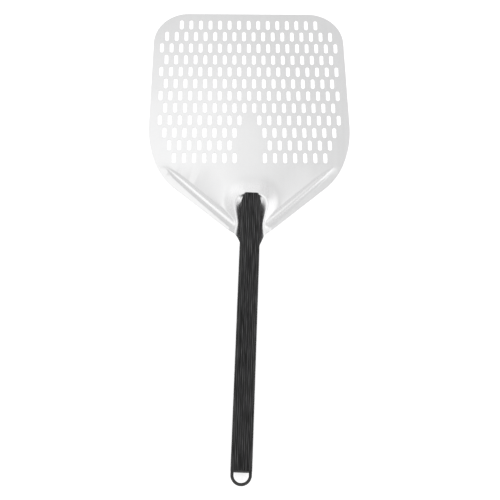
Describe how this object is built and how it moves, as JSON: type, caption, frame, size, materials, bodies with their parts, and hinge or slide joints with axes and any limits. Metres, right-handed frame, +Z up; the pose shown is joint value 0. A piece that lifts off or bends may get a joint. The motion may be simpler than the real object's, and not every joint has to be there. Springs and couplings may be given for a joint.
{
  "type": "pizza peel",
  "caption": "Perforated metal pizza peel: flat tapered blade with slots, pressed ribs and a raised seat, riveted under a fluted oval tube handle that ends in a hanging loop.",
  "frame": {"origin": "on the blade's underside and centreline, 206 mm behind the front edge, in line with the ninth row of slots, whose centre slot is left out", "axes": "+Z up out of the blade's top face, +Y towards the blade's front edge, +X to the right seen from the handle"},
  "size_m": [0.3304, 0.7953, 0.0263],
  "materials": {
    "blade_metal": "satin anodised",
    "handle_black": "satin black anodised, drawn lengthwise",
    "plug_black": "matte moulded",
    "loop_black": "satin moulded",
    "pin_steel": "bright steel",
    "rivet_metal": "satin",
    "mandrel_steel": "plain steel"
  },
  "bodies": {
    "root": {"blade": "blade_metal", "handle_tube": "handle_black", "front_plug": "plug_black", "end_cap": "loop_black", "cap_pin": "pin_steel", "rivet_body_1": "rivet_metal", "rivet_body_2": "rivet_metal", "rivet_body_3": "rivet_metal", "rivet_mandrel_1": "mandrel_steel", "rivet_mandrel_2": "mandrel_steel", "rivet_mandrel_3": "mandrel_steel"}
  },
  "joints": []
}
